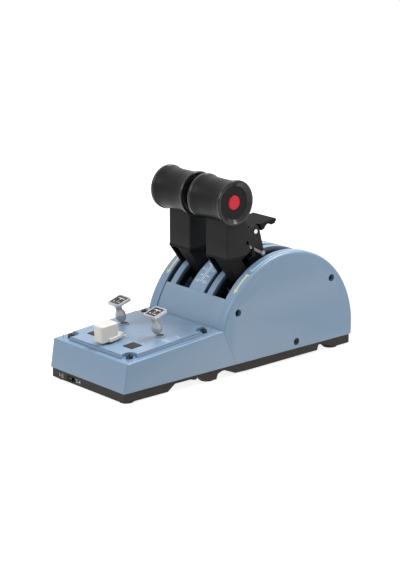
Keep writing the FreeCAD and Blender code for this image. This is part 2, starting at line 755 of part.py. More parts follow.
def lever_arm(centre):
    """Hub on the axle, channel blade in the wide slot, thin blade in the narrow slot, and a post
    that rises inside the lever body to clamp the grip core."""
    hub = rod_x(hub_radius, centre + narrow_blade[0], centre + wide_blade[1], drum_y, drum_z)
    top_rear = yoke_outline[1]
    front_root = polar(hub_radius - 0.5, blade_front_deg - 12)
    rear_root = polar(hub_radius - 0.5, 25)
    blade_outline = [yoke_outline[0], front_root, rear_root, top_rear]
    blade = yz_prism(blade_outline, centre + wide_blade[0], centre + wide_blade[1])
    front_in = polar(94.0, blade_front_deg + 2.2)
    channel = [front_in, polar(30.0, blade_front_deg + 7.0), polar(30.0, 60.0), polar(94.0, 0.0)]
    blade = blade.cut(yz_prism(channel, centre + wide_blade[0] + 2.2, centre + wide_blade[1] - 2.2))
    thin = yz_prism(blade_outline, centre + narrow_blade[0], centre + narrow_blade[1])
    yoke = yz_prism(yoke_outline, centre - lever_half_width, centre + lever_half_width)
    post = yz_prism([(-5.0, body_bottom_z + 1), (6.5, body_bottom_z + 1), (grip_y + 4.5, grip_z),
                     (grip_y - 1.0, grip_z)], centre - 5.0, centre + 5.0)
    clamp = rod_x(core_radius + 2.6, centre - 5.0, centre + 5.0, grip_y, grip_z)
    arm = join([hub, blade, thin, yoke, post, clamp])
    arm = arm.cut(rod_x(core_radius, centre - 6, centre + 6, grip_y, grip_z))
    arm = arm.cut(rod_x(axle_radius + running_fit, centre - 15, centre + 15, drum_y, drum_z))
    return arm.removeSplitter()


def spool(centre):
    """Outer form of the grip sleeve: flanged ends and a gentle waist."""
    h = grip_half_length
    r = grip_radius
    w = grip_waist
    half = [(-h, r - 0.9), (-h + 0.9, r), (-h + 3.0, r), (-h + 4.0, r - 0.5), (-h + 7.5, w + 0.75),
            (-h + 12.0, w + 0.15), (0, w)]
    other = [(-x, radius) for x, radius in reversed(half[:-1])]
    profile = [(-h, 0)] + half + other + [(h, 0)]
    return turned([(centre + x, radius) for x, radius in profile], grip_y, grip_z)


def lever_body(centre):
    """Hollow moulding under the grip, saddle-cut to the sleeve and open below for the arm."""
    x0 = centre - lever_half_width
    x1 = centre + lever_half_width
    shell = yz_prism(body_outline, x0, x1)
    corners = edges_where(shell, lambda c, e: abs(c.y - body_front_y) < 0.01 and abs(e.BoundBox.ZLength) > 5)
    shell = shell.makeChamfer(0.8, corners)
    inner = [(body_front_y + body_wall, body_bottom_z), (body_front_y + body_wall, 145.0), (6.0, 145.0),
             (11.0, 130.0), (14.0, 122.5), (16.1, 106.0), (14.8, 102.5), (13.0, body_bottom_z)]
    shell = shell.cut(yz_prism(inner, x0 + body_wall, x1 - body_wall))
    shell = shell.cut(spool(centre))
    shell = shell.cut(rod_x(1.6, x0, x1, 15.2, 110.4))
    return max(shell.Solids, key=lambda solid: solid.Volume)


def grip_sleeve(centre):
    sleeve = spool(centre)
    h = grip_half_length
    hollow = turned([(centre - h + 5.0, 0), (centre - h + 5.0, 15.0), (centre + h - 5.0, 15.0),
                     (centre + h - 5.0, 0)], grip_y, grip_z)
    sleeve = sleeve.cut(hollow)
    for side in (-1, 1):
        face = centre + side * h
        dish = [(face, 0), (face, grip_radius - 1.9), (face - side * dish_depth, cap_radius),
                (face - side * 5.5, cap_radius), (face - side * 5.5, 0)]
        sleeve = sleeve.cut(turned(dish, grip_y, grip_z))
    # window under the sleeve for the arm's post
    sleeve = sleeve.cut(box(centre - 5.2, centre + 5.2, grip_y - 9, grip_y + 9, grip_z - 25, grip_z))
    return sleeve.removeSplitter()


def grip_core(centre):
    half = grip_half_length - dish_depth - cap_thickness - 1.2
    core = rod_x(core_radius, centre - half, centre + half, grip_y, grip_z)
    return core.cut(rod_x(core_radius - 1.4, centre - 25, centre + 25, grip_y, grip_z))


def end_cap(centre, outward):
    """Flat disc seated in the dish; the outer one is bored for the red button."""
    face = centre + outward * (grip_half_length - dish_depth)
    x0, x1 = sorted((face, face - outward * cap_thickness))
    cap = rod_x(cap_radius, x0, x1, grip_y, grip_z)
    if outward * centre > 0:
        cap = cap.cut(rod_x(button_radius + button_gap, x0 - 1, x1 + 1, grip_y, grip_z))
    return cap


def disconnect_button(centre):
    outward = 1 if centre > 0 else -1
    face = centre + outward * (grip_half_length - dish_depth + 0.5)
    profile = [(face, 0), (face, button_radius - 0.7), (face - outward * 0.6, button_radius),
               (face - outward * 2.6, button_radius), (face - outward * 2.6, 3.0),
               (face - outward * 12.0, 3.0), (face - outward * 12.0, 0)]
    return turned(profile, grip_y, grip_z)


def button_switch(centre):
    outward = 1 if centre > 0 else -1
    inner = centre + outward * (grip_half_length - dish_depth + 0.5 - 12.0 - button_travel - 0.3)
    x0, x1 = sorted((inner, inner - outward * 6))
    return rod_x(core_radius - 1.4, x0, x1, grip_y, grip_z)


# ---- reverse paddle -------------------------------------------------------------------------

def paddle_bracket(centre):
    """Web on the back of the lever body with two cheeks that carry the paddle and latch pins."""
    cheek = [(16.4, 121.9), (25.0, 124.3), (28.0, 123.6), (30.2, 120.0), (30.8, 118.0), (36.3, 97.0),
             (31.0, 96.6), (30.2, 101.8), (18.4, 107.8)]
    web = [(16.4, 121.9), (18.5, 122.5), (20.2, 107.0), (18.05, 107.0)]
    pieces = []
    for side in (-1, 1):
        outer = centre + side * bracket_half_width
        x0, x1 = sorted((outer, outer - side * bracket_plate))
        plate = yz_prism(cheek, x0, x1)
        rounded = edges_where(plate, lambda c, e: abs(e.BoundBox.XLength - bracket_plate) < 0.01
                              and c.z > 119.5 and c.y > 24)
        pieces.append(plate.makeFillet(1.6, rounded))
    pieces.append(yz_prism(web, centre - bracket_half_width, centre + bracket_half_width))
    bracket = join(pieces)
    bracket = bracket.cut(rod_x(paddle_pin_radius, centre - 14, centre + 14, paddle_pin_y, paddle_pin_z))
    bracket = bracket.cut(rod_x(latch_pin_radius, centre - 14, centre + 14, latch_pin_y, latch_pin_z))
    return bracket


def bracket_pins(centre):
    reach = bracket_half_width + 0.5
    upper = rod_x(paddle_pin_radius, centre - reach, centre + reach, paddle_pin_y, paddle_pin_z)
    reach = bracket_half_width + small_gap + latch_bar + 0.3
    lower = rod_x(latch_pin_radius, centre - reach, centre + reach, latch_pin_y, latch_pin_z)
    return Part.makeCompound([upper, lower])


def reverse_paddle(centre):
    """Wide lifting plate with a finger lip, on a barrel between the cheeks."""
    plate_slope = math.tan(math.radians(9.7))

    def top(y):
        return 124.6 + (y - 29.1) * plate_slope

    cheek_gap = bracket_half_width - bracket_plate - small_gap
    wide = [(29.4, top(29.4)), (46.6, top(46.6)), (48.1, top(48.1) - 0.9), (48.6, 125.6), (46.9, 123.0),
            (43.0, 122.0), (38.8, 124.0), (35.9, 121.8), (34.9, 119.9), (31.4, 118.7), (31.1, 121.0)]
    narrow = [(20.8, top(20.8)), (31.7, top(31.7)), (31.7, 118.9), (28.0, 116.2), (22.0, 117.0)]
    pieces = [yz_prism(narrow, centre - cheek_gap, centre + cheek_gap)]
    pieces.append(yz_prism(wide, centre - paddle_half_width, centre + paddle_half_width))
    pieces.append(rod_x(4.0, centre - cheek_gap, centre + cheek_gap, paddle_pin_y, paddle_pin_z))
    finger = [(23.6, 117.0), (27.0, 116.0), (24.6, 106.6), (22.4, 106.6)]
    pieces.append(yz_prism(finger, centre - 9.6, centre - 6.6))
    pieces.append(yz_prism(finger, centre + 6.6, centre + 9.6))
    paddle = join(pieces)
    # scooped underside between two side ribs, and room for the return spring
    scoop = [(33.0, top(33.0) - 2.2), (45.6, top(45.6) - 2.2), (45.6, 110), (33.0, 110)]
    scoop_half = paddle_half_width - 2.0
    paddle = paddle.cut(yz_prism(scoop, centre - scoop_half, centre + scoop_half))
    paddle = paddle.cut(rod_x(5.2, centre - 4.2, centre + 4.2, paddle_pin_y, paddle_pin_z).common(
        box(centre - 5, centre + 5, 10, 40, 100, 122.0)))
    paddle = paddle.cut(rod_x(paddle_pin_radius + running_fit, centre - 14, centre + 14,
                              paddle_pin_y, paddle_pin_z))
    return paddle.removeSplitter()


def paddle_spring(centre):
    """Torsion spring round the paddle pin."""
    wire = 0.45
    coil_radius = paddle_pin_radius + 0.3 + wire
    turns = 4
    pitch = 1.6
    helix = Part.makeHelix(pitch, pitch * turns, coil_radius)
    start = at(coil_radius, 0, 0)
    profile = Part.Wire(Part.makePolygon([start + at(-wire, 0, -wire), start + at(wire, 0, -wire),
                                          start + at(wire, 0, wire), start + at(-wire, 0, wire),
                                          start + at(-wire, 0, -wire)]))
    coil = Part.Wire(helix.Edges).makePipeShell([profile], True, True)
    coil.rotate(at(0, 0, 0), Y, 90)
    coil.translate(at(centre - pitch * turns / 2, paddle_pin_y, paddle_pin_z))
    return coil


def latch(centre):
    """Two steel bars on the lower pin, outside the cheeks."""
    bar = [(34.6, 99.2), (33.6, 97.2), (31.4, 97.6), (latch_front, 102.8), (latch_front, 105.2), (32.4, 100.4)]
    bars = []
    for side in (-1, 1):
        inner = centre + side * (bracket_half_width + small_gap)
        x0, x1 = sorted((inner, inner + side * latch_bar))
        plate = yz_prism(bar, x0, x1)
        boss = rod_x(2.6, x0, x1, latch_pin_y, latch_pin_z)
        plate = plate.fuse(boss).cut(rod_x(latch_pin_radius + running_fit, x0, x1, latch_pin_y, latch_pin_z))
        bars.append(plate.removeSplitter())
    return Part.makeCompound(bars)


def latch_block(centre):
    """Dark moulding between the front ends of the bars: a bridge under the cheeks, a body that
    fills the room over the drum and the tooth that drops into the wide slot."""
    outer = bracket_half_width + small_gap + latch_bar
    inner = bracket_half_width - bracket_plate - small_gap
    over_drum = cover_radius + 1.5
    end = [(19.7, 97.2), (19.7, 102.4), (20.8, 104.8), (latch_front, 105.2), (latch_front, 101.2), (24.4, 101.2),
           (24.4, 97.2)]
    middle = [(19.7, 97.2), (19.7, 101.2), (24.4, 102.0), (30.2, 99.8), polar(over_drum, -16.6),
              polar(over_drum, -20.6), polar(over_drum, -24.4)]
    tooth = [polar(over_drum + 2.0, -21.4), polar(over_drum + 2.0, -24.0), polar(75.0, -26.2), polar(74.0, -23.8)]
    pieces = [yz_prism(middle, centre - inner, centre + inner)]
    pieces.append(yz_prism([(19.7, 97.2), (19.7, 101.2), (24.4, 101.2), (24.4, 97.2)],
                           centre - outer, centre + outer))
    pieces.append(yz_prism(end, centre - outer, centre - outer + latch_bar))
    pieces.append(yz_prism(end, centre + outer - latch_bar, centre + outer))
    pieces.append(yz_prism(tooth, centre - 2.2, centre + 8.6))
    return join(pieces)


# ---- write every node -----------------------------------------------------------------------

save("base_pan", base_pan())
save("rubber_feet", rubber_feet())
save("front_housing", front_housing())
save("left_side_cover", side_cover(-1))
save("right_side_cover", side_cover(1))
save("centre_cover", centre_cover())
save("side_cover_screws", side_cover_screws())
save("base_screws", base_screws())
save("control_plate", control_plate())
save("plate_screws", plate_screws())
save("key_switches", key_switches())
save("selector_knob", selector_knob())
save("selector_shaft", selector_shaft())
save("selector_switch", selector_switch())
save("toggle_switches", toggle_switches())
save("toggle_pins", toggle_pins())
save("panel_board", panel_board())
save("pairing_switch", pairing_switch())
save("pairing_slider", pairing_slider())
save("main_board", main_board())
save("usb_socket", usb_socket())
save("hall_boards", hall_boards())
save("axle_pedestals", axle_pedestals())
save("lever_axle", lever_axle())
save("axle_clips", axle_clips())
save("friction_discs", friction_discs())
save("detent_plungers", detent_plungers())
save("detent_posts", detent_posts())
for name, side in (("left", -1), ("right", 1)):
    centre = side * lever_x
    save(name + "_key_cap", key_cap(side))
    save(name + "_toggle", toggle(side))
    save(name + "_lever_arm", lever_arm(centre))
    save(name + "_lever_body", lever_body(centre))
    save(name + "_grip_sleeve", grip_sleeve(centre))
    save(name + "_grip_core", grip_core(centre))
    save(name + "_grip_caps", Part.makeCompound([end_cap(centre, 1), end_cap(centre, -1)]))
    save(name + "_disconnect_button", disconnect_button(centre))
    save(name + "_button_switch", button_switch(centre))
    save(name + "_detent_plate", detent_plate(centre))
    save(name + "_paddle_bracket", paddle_bracket(centre))
    save(name + "_bracket_pins", bracket_pins(centre))
    save(name + "_reverse_paddle", reverse_paddle(centre))
    save(name + "_paddle_spring", paddle_spring(centre))
    save(name + "_latch", latch(centre))
    save(name + "_latch_block", latch_block(centre))
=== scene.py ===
import json
import math

import bpy
from mathutils import Matrix, Vector


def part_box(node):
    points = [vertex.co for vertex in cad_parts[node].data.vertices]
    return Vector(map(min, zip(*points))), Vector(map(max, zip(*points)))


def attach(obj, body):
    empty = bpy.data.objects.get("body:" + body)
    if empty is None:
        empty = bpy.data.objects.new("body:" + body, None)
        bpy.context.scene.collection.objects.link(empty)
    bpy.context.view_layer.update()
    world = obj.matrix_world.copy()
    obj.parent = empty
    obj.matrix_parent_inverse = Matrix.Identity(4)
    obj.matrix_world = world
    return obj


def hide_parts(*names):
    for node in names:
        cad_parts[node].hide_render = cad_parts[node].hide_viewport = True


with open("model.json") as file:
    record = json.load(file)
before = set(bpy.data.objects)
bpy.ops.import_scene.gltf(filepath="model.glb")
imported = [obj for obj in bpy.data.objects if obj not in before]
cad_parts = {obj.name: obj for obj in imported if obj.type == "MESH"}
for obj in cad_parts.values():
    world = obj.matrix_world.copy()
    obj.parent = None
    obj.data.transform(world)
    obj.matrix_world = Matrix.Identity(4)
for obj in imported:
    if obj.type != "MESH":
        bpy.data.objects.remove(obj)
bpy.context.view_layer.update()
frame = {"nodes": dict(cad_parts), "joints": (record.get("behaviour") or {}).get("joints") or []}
node = frame["nodes"]
joint = {j["name"]: j for j in frame["joints"]}
MM = 0.001
bpy.ops.object.select_all(action="DESELECT")

# The studio: a white sweep under soft lamps, and a long lens looking at the front right
# corner of the quadrant. The floor takes the object's shadow and is otherwise plain white.
scene = bpy.context.scene
scene.view_settings.view_transform = "Standard"

bpy.ops.object.camera_add(location=(1.2043, -1.04845, 0.5088))
camera = bpy.context.object
camera.rotation_euler = (math.radians(74.22), math.radians(0.11), math.radians(49.08))
camera.data.lens = 120.98
camera.data.sensor_width = 36.0
camera.data.shift_x = 0.0003
camera.data.shift_y = 0.0212
camera.data.clip_end = 20.0
scene.camera = camera


def lamp(name, place, aim, size, power, tint):
    """A soft box of the given size, turned towards a point."""
    bpy.ops.object.light_add(type="AREA", location=place)
    box = bpy.context.object
    box.name = name
    box.data.shape = "RECTANGLE"
    box.data.size, box.data.size_y = size
    box.data.energy = power
    box.data.color = tint
    box.rotation_euler = (Vector(place) - Vector(aim)).to_track_quat("Z", "Y").to_euler()


middle = (0.0, 0.0, 0.06)
lamp("top_box", (0.1, 0.55, 1.35), middle, (0.8, 0.6), 17.5, (0.96, 0.99, 1.0))
lamp("rim_box", (0.42, 0.98, 1.14), middle, (0.5, 0.3), 4.0, (0.97, 0.99, 1.0))
lamp("front_box", (-0.5, -1.3, 1.0), middle, (1.0, 0.8), 11.0, (1.0, 0.98, 0.95))
lamp("side_box", (1.7, 0.25, 0.55), middle, (0.9, 0.9), 4.0, (1.0, 0.84, 0.66))

world = bpy.data.worlds.new("studio")
scene.world = world
world.use_nodes = True
sky = world.node_tree.nodes
wire = world.node_tree.links
sky.clear()
seen = sky.new("ShaderNodeLightPath")
seen_or_mirrored = sky.new("ShaderNodeMath")
seen_or_mirrored.operation = "MAXIMUM"
seen_through = sky.new("ShaderNodeMath")
seen_through.operation = "MAXIMUM"
lighting = sky.new("ShaderNodeBackground")
lighting.inputs["Color"].default_value = (0.97, 0.98, 1.0, 1.0)
lighting.inputs["Strength"].default_value = 0.3
white = sky.new("ShaderNodeBackground")
white.inputs["Color"].default_value = (1.0, 1.0, 1.0, 1.0)
white.inputs["Strength"].default_value = 1.0
blend = sky.new("ShaderNodeMixShader")
air = sky.new("ShaderNodeOutputWorld")
wire.new(seen.outputs["Is Camera Ray"], seen_or_mirrored.inputs[0])
wire.new(seen.outputs["Is Glossy Ray"], seen_or_mirrored.inputs[1])
wire.new(seen_or_mirrored.outputs[0], seen_through.inputs[0])
wire.new(seen.outputs["Is Transmission Ray"], seen_through.inputs[1])
wire.new(seen_through.outputs[0], blend.inputs["Fac"])
wire.new(lighting.outputs[0], blend.inputs[1])
wire.new(white.outputs[0], blend.inputs[2])
wire.new(blend.outputs[0], air.inputs["Surface"])

bpy.ops.mesh.primitive_plane_add(size=6.0, location=(0.0, 0.0, 0.0))
floor = bpy.context.object
floor.name = "floor"
sheet = bpy.data.materials.new("white_floor")
sheet.use_nodes = True
parts = sheet.node_tree.nodes
wire = sheet.node_tree.links
parts.clear()
lit = parts.new("ShaderNodeBsdfDiffuse")
lit.inputs["Color"].default_value = (0.5, 0.49, 0.48, 1.0)
glow = parts.new("ShaderNodeEmission")
glow.inputs["Color"].default_value = (1.0, 1.0, 1.0, 1.0)
glow.inputs["Strength"].default_value = 0.86
seen = parts.new("ShaderNodeLightPath")
either = parts.new("ShaderNodeMath")
either.operation = "MAXIMUM"
dark = parts.new("ShaderNodeEmission")
dark.inputs["Strength"].default_value = 0.0
glow_when_seen = parts.new("ShaderNodeMixShader")
total = parts.new("ShaderNodeAddShader")
out = parts.new("ShaderNodeOutputMaterial")
wire.new(seen.outputs["Is Camera Ray"], either.inputs[0])
wire.new(seen.outputs["Is Glossy Ray"], either.inputs[1])
wire.new(either.outputs[0], glow_when_seen.inputs["Fac"])
wire.new(dark.outputs[0], glow_when_seen.inputs[1])
wire.new(glow.outputs[0], glow_when_seen.inputs[2])
wire.new(lit.outputs[0], total.inputs[0])
wire.new(glow_when_seen.outputs[0], total.inputs[1])
wire.new(total.outputs[0], out.inputs["Surface"])
floor.data.materials.append(sheet)

# Base pan: injection-moulded black plastic with a fine spark-eroded grain, screwed up into the
# painted shells. Six soft rubber pads sit in its bosses.


def moulded(name, colour, rough, grain, depth, drift=0.06, edge=0.0, metal=0.0, coat=0.0,
            gloss=0.5):
    """A moulded or painted finish: colour in linear RGB that drifts slowly over the surface,
    uneven polish, a surface grain of the given size and depth in metres, and, where edge is set, a
    painted highlight that lightens the colour on sharp edges."""
    finish = bpy.data.materials.new(name)
    finish.use_nodes = True
    parts = finish.node_tree.nodes
    wire = finish.node_tree.links
    shader = parts["Principled BSDF"]
    shader.inputs["Metallic"].default_value = metal
    shader.inputs["Coat Weight"].default_value = coat
    shader.inputs["Specular IOR Level"].default_value = gloss
    shader.inputs["Coat Roughness"].default_value = 0.2
    place = parts.new("ShaderNodeTexCoord")
    cloud = parts.new("ShaderNodeTexNoise")
    cloud.inputs["Scale"].default_value = 28.0
    cloud.inputs["Detail"].default_value = 4.0
    speck = parts.new("ShaderNodeTexNoise")
    speck.inputs["Scale"].default_value = 1.0 / grain
    speck.inputs["Detail"].default_value = 3.0
    speck.inputs["Roughness"].default_value = 0.6
    shade = parts.new("ShaderNodeValToRGB")
    shade.color_ramp.elements[0].position = 0.25
    shade.color_ramp.elements[1].position = 0.75
    shade.color_ramp.elements[0].color = tuple(c * (1 - drift) for c in colour) + (1.0,)
    shade.color_ramp.elements[1].color = tuple(min(1.0, c * (1 + drift)) for c in colour) + (1.0,)
    polish = parts.new("ShaderNodeMapRange")
    polish.inputs["From Min"].default_value = 0.3
    polish.inputs["From Max"].default_value = 0.7
    polish.inputs["To Min"].default_value = max(0.02, rough - 0.04)
    polish.inputs["To Max"].default_value = rough + 0.05
    relief = parts.new("ShaderNodeBump")
    relief.inputs["Strength"].default_value = 0.6
    relief.inputs["Distance"].default_value = depth
    wire.new(place.outputs["Object"], cloud.inputs["Vector"])
    wire.new(place.outputs["Object"], speck.inputs["Vector"])
    wire.new(cloud.outputs["Fac"], shade.inputs["Fac"])
    wire.new(speck.outputs["Fac"], polish.inputs["Value"])
    wire.new(speck.outputs["Fac"], relief.inputs["Height"])
    wire.new(polish.outputs["Result"], shader.inputs["Roughness"])
    wire.new(relief.outputs["Normal"], shader.inputs["Normal"])
    # Painted highlight: on sharp edges (high pointiness) the colour is mixed towards white,
    # standing in for the light that rounded edges catch.
    if edge:
        form = parts.new("ShaderNodeNewGeometry")
        rim = parts.new("ShaderNodeMapRange")
        rim.inputs["From Min"].default_value = 0.53
        rim.inputs["From Max"].default_value = 0.62
        rim.inputs["To Max"].default_value = edge
        edge_highlight = parts.new("ShaderNodeMix")
        edge_highlight.data_type = "RGBA"
        edge_highlight.inputs["B"].default_value = tuple(min(1.0, 0.5 * c + 0.5) for c in colour) + (1.0,)
        wire.new(form.outputs["Pointiness"], rim.inputs["Value"])
        wire.new(rim.outputs["Result"], edge_highlight.inputs["Factor"])
        wire.new(shade.outputs["Color"], edge_highlight.inputs["A"])
        wire.new(edge_highlight.outputs["Result"], shader.inputs["Base Color"])
    else:
        wire.new(shade.outputs["Color"], shader.inputs["Base Color"])
    return finish


def dress(names, finish, edge=0.0):
    """Give CAD nodes their finish and, where edge is set, the small radius that a tool or
    mould leaves on every sharp corner."""
    for name in names:
        piece = node[name]
        piece.data.materials.clear()
        piece.data.materials.append(finish)
        if not edge:
            continue
        weld = piece.modifiers.new("weld", "WELD")
        weld.merge_threshold = 0.002 * MM
        flat = piece.modifiers.new("flat_faces", "DECIMATE")
        flat.decimate_type = "DISSOLVE"
        flat.angle_limit = math.radians(0.4)
        corner = piece.modifiers.new("corner_radius", "BEVEL")
        corner.width = edge
        corner.segments = 2
        corner.limit_method = "ANGLE"
        corner.angle_limit = math.radians(32)
        corner.use_clamp_overlap = False
        even = piece.modifiers.new("even_shading", "WEIGHTED_NORMAL")
        even.weight = 80


base_plastic = moulded("black_base_plastic", (0.03, 0.028, 0.026), 0.55, 0.35 * MM, 0.03 * MM,
                       gloss=0.25)
rubber = moulded("foot_rubber", (0.02, 0.02, 0.021), 0.75, 0.2 * MM, 0.02 * MM)
dress(["base_pan"], base_plastic, 0.25 * MM)
dress(["rubber_feet"], rubber, 0.4 * MM)

# Painted shells: front module, control plate and two side covers, all moulded and sprayed in
# one satin steel blue, whose film rounds every edge. Screws hold them to the base pan.
# Painted highlight: edge=0.7 lightens the blue on the shells' sharp edges.
blue_paint = moulded("steel_blue_paint", (0.210, 0.334, 0.494), 0.36, 0.5 * MM, 0.008 * MM,
                     drift=0.02, edge=0.7, coat=0.25)
dress(["front_housing", "control_plate"], blue_paint, 0.35 * MM)
dress(["left_side_cover", "right_side_cover"], blue_paint, 0.15 * MM)

# Slotted centre cover: a half-drum moulded round the lever axle, in the same paint, set a little
# lighter than the shells' as painted light on the drum.
# Below the rim of each slot the colour fades to nearly black: painted shade for the shadow inside
# the slots.
drum_axis = Vector(joint["left_lever_swing"]["pos_m"])
full_shade_below = 73.5 * MM
no_shade_above = 77.8 * MM
# Painted light: this copy of the paint is lighter than the shells', and edge=0.5 adds a painted
# highlight on its sharp edges.
drum_paint_lightened_and_slot_shaded = moulded("steel_blue_drum_paint", (0.222, 0.348, 0.508), 0.36, 0.5 * MM, 0.008 * MM,
                     drift=0.02, edge=0.5, coat=0.25)
parts = drum_paint_lightened_and_slot_shaded.node_tree.nodes
wire = drum_paint_lightened_and_slot_shaded.node_tree.links
shader = parts["Principled BSDF"]
skin_colour = shader.inputs["Base Color"].links[0].from_socket
place = parts.new("ShaderNodeTexCoord")
from_axis = parts.new("ShaderNodeVectorMath")
from_axis.operation = "SUBTRACT"
from_axis.inputs[1].default_value = drum_axis
across = parts.new("ShaderNodeVectorMath")
across.operation = "MULTIPLY"
across.inputs[1].default_value = (0.0, 1.0, 1.0)
reach = parts.new("ShaderNodeVectorMath")
reach.operation = "LENGTH"
# Painted shade: between these radii from the axle the colour darkens to near black, deepest inside
# the slots.
slot_shade_fade = parts.new("ShaderNodeMapRange")
slot_shade_fade.inputs["From Min"].default_value = full_shade_below
slot_shade_fade.inputs["From Max"].default_value = no_shade_above
inside = parts.new("ShaderNodeMix")
inside.data_type = "RGBA"
inside.inputs["A"].default_value = (0.008, 0.010, 0.013, 1.0)
wire.new(place.outputs["Object"], from_axis.inputs[0])
wire.new(from_axis.outputs["Vector"], across.inputs[0])
wire.new(across.outputs["Vector"], reach.inputs[0])
wire.new(reach.outputs["Value"], slot_shade_fade.inputs["Value"])
wire.new(slot_shade_fade.outputs["Result"], inside.inputs["Factor"])
wire.new(skin_colour, inside.inputs["B"])
wire.new(inside.outputs["Result"], shader.inputs["Base Color"])
dress(["centre_cover"], drum_paint_lightened_and_slot_shaded, 0.15 * MM)

# Screws: steel with a black-oxide finish, in the plate's corners, in the recesses of the side
# covers and under the base.
black_oxide = moulded("black_oxide_steel", (0.03, 0.03, 0.032), 0.35, 0.15 * MM, 0.004 * MM,
                      metal=0.8)
dress(["side_cover_screws", "base_screws", "plate_screws"], black_oxide)

# Selector: a tall ivory block on a low pointer, moulded in one and polished by handling. It is
# pressed onto the steel shaft of a rotary switch under the plate.
ivory = moulded("ivory_knob_plastic", (0.80, 0.765, 0.71), 0.32, 0.6 * MM, 0.004 * MM,
                drift=0.03, coat=0.2)
bright_steel = moulded("bright_steel", (0.62, 0.61, 0.6), 0.25, 0.1 * MM, 0.002 * MM, metal=1.0)
inner_plastic = moulded("dark_inner_plastic", (0.05, 0.05, 0.053), 0.55, 0.3 * MM, 0.02 * MM)
dress(["selector_knob"], ivory, 0.3 * MM)
dress(["selector_shaft"], bright_steel)
dress(["selector_switch"], inner_plastic, 0.15 * MM)

# Engine toggles: die-cast levers in satin silver lacquer. A thin shank rises from the collar into
# a stout barrel and a thick neck, which carries a square head set to the rear.
# Painted highlight: edge=0.5 lightens the lacquer on the toggles' sharp edges.
silver = moulded("satin_silver_lacquer", (0.42, 0.44, 0.46), 0.3, 0.3 * MM, 0.006 * MM,
                 drift=0.04, edge=0.5, metal=0.3)
dress(["toggle_switches"], silver, 0.12 * MM)
dress(["toggle_pins"], bright_steel)
toggle_lean = math.radians(13.0)
panel_normal = Vector(joint["mode_selector_turn"]["axis"])
panel_slope = math.atan2(-panel_normal.y, panel_normal.z)
stem_rings = [(-1.0, 0.8), (-0.6, 1.15), (6.6, 1.2), (7.8, 1.5), (8.3, 2.6), (8.9, 3.4),
              (9.9, 4.0), (12.0, 4.6), (14.6, 4.6), (16.0, 4.3), (17.2, 3.5), (18.2, 3.0),
              (19.8, 2.8), (22.0, 2.9), (23.8, 3.5), (24.9, 4.4)]
head_size = (15.0 * MM, 14.8 * MM, 2.4 * MM)
head_middle = (0.0, 2.5 * MM, 26.0 * MM)
head_rim = 1.5 * MM
recess_depth = 0.4 * MM


def turned(name, rings, segments, ring_closed=False):
    """A lathed piece: a circle carried up the Z axis ring by ring, each (height, radius) in mm.
    Its two ends are capped, or joined through the middle where ring_closed is set."""
    bpy.ops.object.select_all(action="DESELECT")
    first_height, first_radius = rings[0]
    bpy.ops.mesh.primitive_circle_add(vertices=segments, radius=first_radius * MM,
                                      location=(0.0, 0.0, first_height * MM))
    piece = bpy.context.object
    piece.name = name
    bpy.ops.object.transform_apply(location=True, rotation=True, scale=True)
    bpy.ops.object.mode_set(mode="EDIT")
    bpy.ops.mesh.select_mode(type="VERT")
    bpy.ops.mesh.select_all(action="SELECT")
    for (old_height, old_radius), (height, radius) in zip(rings, rings[1:]):
        rise = (height - old_height) * MM
        grow = radius / old_radius
        bpy.ops.mesh.extrude_region_move(TRANSFORM_OT_translate={"value": (0.0, 0.0, rise)})
        bpy.ops.transform.resize(value=(grow, grow, 1.0), center_override=(0.0, 0.0, 0.0))
    bpy.ops.mesh.select_all(action="DESELECT")
    bpy.ops.mesh.select_non_manifold()
    if ring_closed:
        bpy.ops.mesh.bridge_edge_loops()
    else:
        bpy.ops.mesh.fill_holes(sides=0)
    bpy.ops.mesh.select_all(action="SELECT")
    bpy.ops.mesh.normals_make_consistent(inside=False)
    bpy.ops.object.mode_set(mode="OBJECT")
    return piece


for side in ("left", "right"):
    stem = turned(side + "_toggle_lever", stem_rings, 48)
    bpy.ops.mesh.primitive_cube_add(size=1.0, location=head_middle)
    head = bpy.context.object
    head.scale = head_size
    bpy.ops.object.transform_apply(location=True, rotation=True, scale=True)
    corners = head.modifiers.new("round_corners", "BEVEL")
    corners.width = head_rim
    corners.segments = 4
    corners.limit_method = "WEIGHT"
    upright = head.data.attributes.new("bevel_weight_edge", "FLOAT", "EDGE")
    for edge in head.data.edges:
        foot, top = [head.data.vertices[i].co for i in edge.vertices]
        upright.data[edge.index].value = 1.0 if abs(foot.z - top.z) > MM else 0.0
    bpy.ops.object.modifier_apply(modifier="round_corners")
    bpy.ops.object.mode_set(mode="EDIT")
    bpy.ops.mesh.select_all(action="DESELECT")
    bpy.ops.mesh.select_mode(type="FACE")
    bpy.ops.object.mode_set(mode="OBJECT")
    for face in head.data.polygons:
        face.select = face.normal.z > 0.9
    bpy.ops.object.mode_set(mode="EDIT")
    bpy.ops.mesh.inset(thickness=head_rim)
    bpy.ops.mesh.extrude_region_move(TRANSFORM_OT_translate={"value": (0.0, 0.0, -recess_depth)})
    bpy.ops.object.mode_set(mode="OBJECT")
    rounding = head.modifiers.new("cast_edges", "BEVEL")
    rounding.width = 0.35 * MM
    rounding.segments = 3
    rounding.limit_method = "ANGLE"
    rounding.angle_limit = math.radians(50)
    bpy.ops.object.modifier_apply(modifier="cast_edges")
    bpy.ops.object.select_all(action="DESELECT")
    stem.select_set(True)
    head.select_set(True)
    bpy.context.view_layer.objects.active = stem
    bpy.ops.object.join()
    pivot = Matrix.Translation(Vector(joint[side + "_engine_switch"]["pos_m"]))
    stem.data.transform(pivot @ Matrix.Rotation(panel_slope + toggle_lean, 4, "X"))
    bpy.ops.object.shade_smooth_by_angle(angle=math.radians(38))
    stem.data.materials.append(silver)
    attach(stem, side + "_engine_toggle")
    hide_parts(side + "_toggle")

